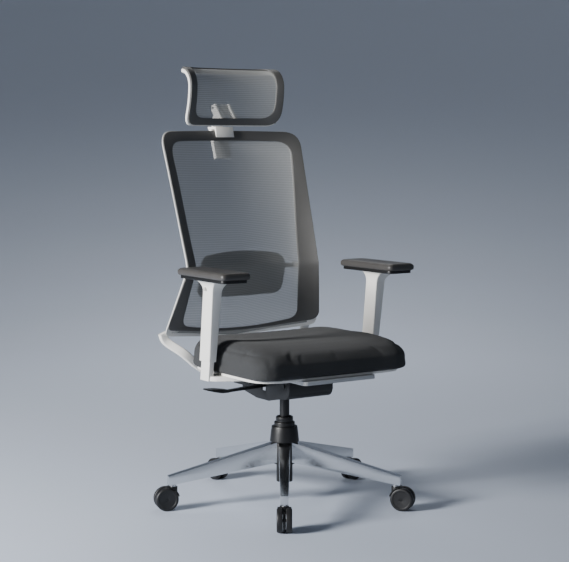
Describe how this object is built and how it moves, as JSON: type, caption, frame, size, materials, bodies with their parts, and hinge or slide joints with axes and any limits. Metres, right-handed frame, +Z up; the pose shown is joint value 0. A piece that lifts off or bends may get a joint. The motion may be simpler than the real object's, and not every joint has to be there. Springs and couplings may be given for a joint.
{
  "type": "office chair",
  "caption": "Swivel office chair with a tall mesh back, mesh headrest, padded seat, adjustable arms and a polished star base on castors.",
  "frame": {"origin": "where the gas lift's axis meets the floor", "axes": "+Z up, the sitter faces -Y, +X is the sitter's left"},
  "size_m": [0.7294, 0.7035, 1.237],
  "materials": {
    "alloy": "polished die-cast aluminium",
    "black_plastic": "black moulded nylon",
    "castor_tread": "black castor wheel",
    "black_metal": "black powder coat",
    "bush_plastic": "natural acetal",
    "steel": "zinc-plated steel",
    "grey_metal": "light grey painted steel",
    "white_plastic": "white satin nylon",
    "grey_plastic": "light grey plastic",
    "rim_plastic": "dark grey moulded nylon",
    "base_plastic": "black moulded plastic",
    "seat_fabric": "charcoal woven upholstery",
    "mesh_fabric": "grey elastic mesh",
    "arm_pad": "soft polyurethane"
  },
  "bodies": {
    "base": {"star_base": "alloy", "hub_sleeve": "black_plastic", "gas_tube": "black_metal", "guide_bush": "bush_plastic", "thrust_bearing": "steel", "cover_cup": "black_plastic", "cover_ring_lower": "black_plastic", "cover_ring_upper": "black_plastic", "castor_stems": "steel"},
    "castor_1_fork": {"castor_1_hood": "black_plastic"},
    "castor_1_roll": {"castor_1_wheels": "castor_tread"},
    "castor_2_fork": {"castor_2_hood": "black_plastic"},
    "castor_2_roll": {"castor_2_wheels": "castor_tread"},
    "castor_3_fork": {"castor_3_hood": "black_plastic"},
    "castor_3_roll": {"castor_3_wheels": "castor_tread"},
    "castor_4_fork": {"castor_4_hood": "black_plastic"},
    "castor_4_roll": {"castor_4_wheels": "castor_tread"},
    "castor_5_fork": {"castor_5_hood": "black_plastic"},
    "castor_5_roll": {"castor_5_wheels": "castor_tread"},
    "spindle": {"piston_rod": "steel", "lift_clip": "steel"},
    "chassis": {"gas_piston": "black_metal", "mech_housing": "black_metal", "pivot_pins": "steel", "tilt_spring": "steel"},
    "release": {"release_pin": "steel"},
    "height_handle": {"height_lever": "black_plastic"},
    "tilt_handle": {"tilt_lever": "black_plastic"},
    "tension": {"tension_knob": "black_plastic"},
    "seat": {"seat_plate": "grey_metal", "seat_pan": "white_plastic", "seat_cushion": "seat_fabric", "seat_bolts": "steel", "arm_l_bracket": "white_plastic", "arm_r_bracket": "white_plastic"},
    "back": {"back_bracket": "black_metal", "back_yoke": "white_plastic", "back_frame": "white_plastic", "back_rim": "rim_plastic", "back_mesh": "mesh_fabric", "back_screws": "steel", "lumbar_lugs": "white_plastic", "headrest_clip": "white_plastic"},
    "lumbar": {"lumbar_carrier": "black_plastic", "lumbar_pad": "seat_fabric"},
    "headrest_post": {"headrest_stem": "white_plastic", "headrest_pin": "steel"},
    "headrest": {"headrest_frame": "white_plastic", "headrest_rim": "rim_plastic", "headrest_mesh": "mesh_fabric"},
    "arm_l_post": {"arm_l_sleeve": "white_plastic"},
    "arm_l_key": {"arm_l_button": "grey_plastic"},
    "arm_l_swivel": {"arm_l_base": "base_plastic"},
    "arm_l_top": {"arm_l_pad": "arm_pad"},
    "arm_r_post": {"arm_r_sleeve": "white_plastic"},
    "arm_r_key": {"arm_r_button": "grey_plastic"},
    "arm_r_swivel": {"arm_r_base": "base_plastic"},
    "arm_r_top": {"arm_r_pad": "arm_pad"}
  },
  "joints": [
    {"name": "castor_1_swivel", "type": "hinge", "parent": "base", "child": "castor_1_fork", "pos_m": [-0.18041, -0.27153, 0.06], "axis": [0, 0, 1], "continuous": true},
    {"name": "castor_1_spin", "type": "hinge", "parent": "castor_1_fork", "child": "castor_1_roll", "pos_m": [-0.19147, -0.28819, 0.0325], "axis": [0.8329, -0.5534, 0], "continuous": true},
    {"name": "castor_2_swivel", "type": "hinge", "parent": "base", "child": "castor_2_fork", "pos_m": [0.20249, -0.25548, 0.06], "axis": [0, 0, 1], "continuous": true},
    {"name": "castor_2_spin", "type": "hinge", "parent": "castor_2_fork", "child": "castor_2_roll", "pos_m": [0.21492, -0.27116, 0.0325], "axis": [0.7837, 0.6211, 0], "continuous": true},
    {"name": "castor_3_swivel", "type": "hinge", "parent": "base", "child": "castor_3_fork", "pos_m": [0.30555, 0.11363, 0.06], "axis": [0, 0, 1], "continuous": true},
    {"name": "castor_3_spin", "type": "hinge", "parent": "castor_3_fork", "child": "castor_3_roll", "pos_m": [0.3243, 0.12061, 0.0325], "axis": [-0.3486, 0.9373, 0], "continuous": true},
    {"name": "castor_4_swivel", "type": "hinge", "parent": "base", "child": "castor_4_fork", "pos_m": [-0.01365, 0.32571, 0.06], "axis": [0, 0, 1], "continuous": true},
    {"name": "castor_4_spin", "type": "hinge", "parent": "castor_4_fork", "child": "castor_4_roll", "pos_m": [-0.01449, 0.3457, 0.0325], "axis": [-0.9991, -0.0419, 0], "continuous": true},
    {"name": "castor_5_swivel", "type": "hinge", "parent": "base", "child": "castor_5_fork", "pos_m": [-0.31399, 0.08767, 0.06], "axis": [0, 0, 1], "continuous": true},
    {"name": "castor_5_spin", "type": "hinge", "parent": "castor_5_fork", "child": "castor_5_roll", "pos_m": [-0.33325, 0.09305, 0.0325], "axis": [-0.2689, -0.9632, 0], "continuous": true},
    {"name": "chair_turn", "type": "hinge", "parent": "base", "child": "spindle", "pos_m": [0, 0, 0.068], "axis": [0, 0, 1], "continuous": true},
    {"name": "seat_lift", "type": "slide", "parent": "spindle", "child": "chassis", "axis": [0, 0, 1], "range_m": [-0.045, 0.055]},
    {"name": "height_lever_pull", "type": "hinge", "parent": "chassis", "child": "height_handle", "pos_m": [-0.062, -0.004, 0.341], "axis": [0, 1, 0], "range_deg": [0, 3.5], "stiffness_Nm_per_rad": 6, "springref_deg": -2.86},
    {"name": "release_press", "type": "slide", "parent": "chassis", "child": "release", "axis": [0, 0, 1], "range_m": [-0.004, 0]},
    {"name": "tilt_lock_turn", "type": "hinge", "parent": "chassis", "child": "tilt_handle", "pos_m": [0.108, 0.022, 0.334], "axis": [1, 0, 0], "range_deg": [0, 15]},
    {"name": "tension_turn", "type": "hinge", "parent": "chassis", "child": "tension", "pos_m": [0.09, -0.07, 0.336], "axis": [1, 0, 0], "range_deg": [0, 360]},
    {"name": "back_recline", "type": "hinge", "parent": "chassis", "child": "back", "pos_m": [0, 0.052, 0.338], "axis": [-1, 0, 0], "range_deg": [0, 20], "stiffness_Nm_per_rad": 60, "springref_deg": -28.65},
    {"name": "seat_tilt", "type": "hinge", "parent": "chassis", "child": "seat", "pos_m": [0, -0.105, 0.352], "axis": [-1, 0, 0], "range_deg": [0, 7]},
    {"name": "lumbar_rock", "type": "hinge", "parent": "back", "child": "lumbar", "pos_m": [0, 0.225, 0.652], "axis": [1, 0, 0], "range_deg": [-3, 3]},
    {"name": "headrest_height", "type": "slide", "parent": "back", "child": "headrest_post", "axis": [0, 0.3223, 0.9466], "range_m": [0, 0.045]},
    {"name": "headrest_tilt", "type": "hinge", "parent": "headrest_post", "child": "headrest", "pos_m": [0, 0.338, 1.121], "axis": [-1, 0, 0], "range_deg": [0, 25]},
    {"name": "arm_l_height", "type": "slide", "parent": "seat", "child": "arm_l_post", "axis": [0, -0.1357, 0.9907], "range_m": [-0.036, 0.044]},
    {"name": "arm_l_release", "type": "slide", "parent": "arm_l_post", "child": "arm_l_key", "axis": [-1, 0, 0], "range_m": [0, 0.002], "stiffness_N_per_m": 500, "springref_m": -0.001},
    {"name": "arm_l_turn", "type": "hinge", "parent": "arm_l_post", "child": "arm_l_swivel", "pos_m": [0.273, -0.06722, 0.65], "axis": [0, 0, 1], "range_deg": [-20, 20]},
    {"name": "arm_l_slide", "type": "slide", "parent": "arm_l_swivel", "child": "arm_l_top", "axis": [0, 1, 0], "range_m": [-0.025, 0.025]},
    {"name": "arm_r_height", "type": "slide", "parent": "seat", "child": "arm_r_post", "axis": [0, -0.1357, 0.9907], "range_m": [-0.036, 0.044]},
    {"name": "arm_r_release", "type": "slide", "parent": "arm_r_post", "child": "arm_r_key", "axis": [1, 0, 0], "range_m": [0, 0.002], "stiffness_N_per_m": 500, "springref_m": -0.001},
    {"name": "arm_r_turn", "type": "hinge", "parent": "arm_r_post", "child": "arm_r_swivel", "pos_m": [-0.273, -0.06722, 0.65], "axis": [0, 0, 1], "range_deg": [-20, 20]},
    {"name": "arm_r_slide", "type": "slide", "parent": "arm_r_swivel", "child": "arm_r_top", "axis": [0, 1, 0], "range_m": [-0.025, 0.025]}
  ],
  "couplings": [
    {"joint": "seat_tilt", "follows": "back_recline", "ratio": 0.35},
    {"joint": "release_press", "follows": "height_lever_pull", "m_per_rad": -0.062}
  ]
}
